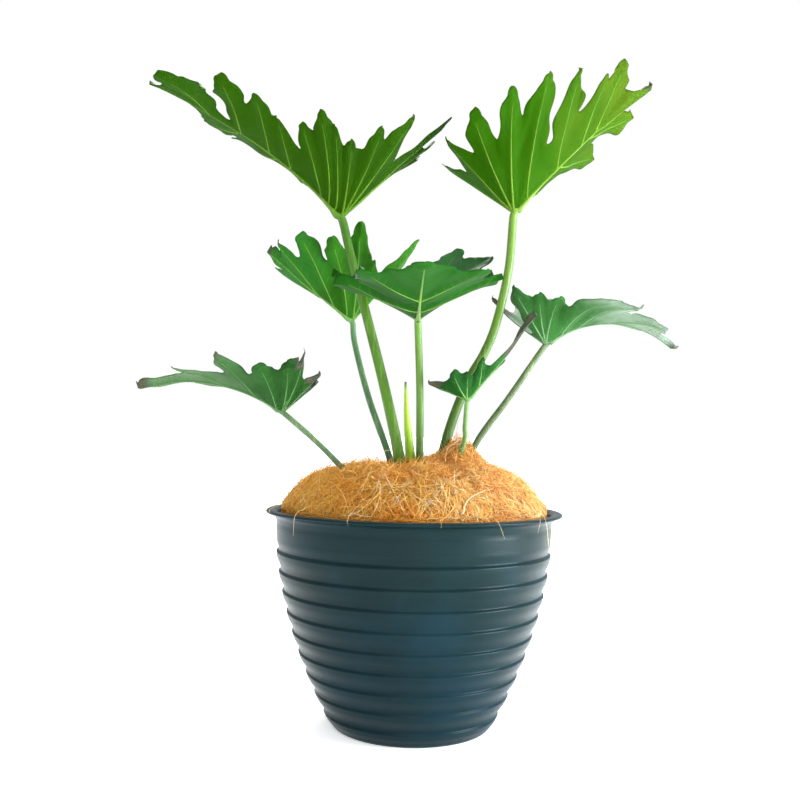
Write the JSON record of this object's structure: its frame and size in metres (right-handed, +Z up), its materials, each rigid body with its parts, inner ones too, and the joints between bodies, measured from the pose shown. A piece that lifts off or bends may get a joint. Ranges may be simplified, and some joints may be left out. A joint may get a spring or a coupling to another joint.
{
  "type": "potted philodendron selloum",
  "caption": "Potted tree philodendron with lobed leaves on long stalks, in a ribbed dark plastic nursery pot topped with coir fibre.",
  "frame": {"origin": "centre of the pot's underside, on the surface that the pot stands on", "axes": "+Z up, along the pot's axis; -Y towards the viewer; +X to the viewer's right"},
  "size_m": [0.4645, 0.2863, 0.5546],
  "materials": {
    "pot_plastic": "satin moulded plastic",
    "soil": "matt, crumbly",
    "coir": "matted coconut fibre",
    "crown": "matt plant stem",
    "new_leaf": "smooth, slightly waxy",
    "petiole": "smooth, slightly waxy",
    "blade": "glossy leaf"
  },
  "bodies": {
    "root": {"pot": "pot_plastic", "soil": "soil", "coir_mulch": "coir", "crown": "crown", "new_leaf": "new_leaf", "petiole_top_left": "petiole", "petiole_top_right": "petiole", "petiole_middle_left": "petiole", "petiole_front": "petiole", "petiole_right": "petiole", "petiole_small": "petiole", "petiole_low_left": "petiole", "blade_top_left": "blade", "blade_top_right": "blade", "blade_middle_left": "blade", "blade_front": "blade", "blade_right": "blade", "blade_small": "blade", "blade_low_left": "blade"}
  },
  "joints": []
}
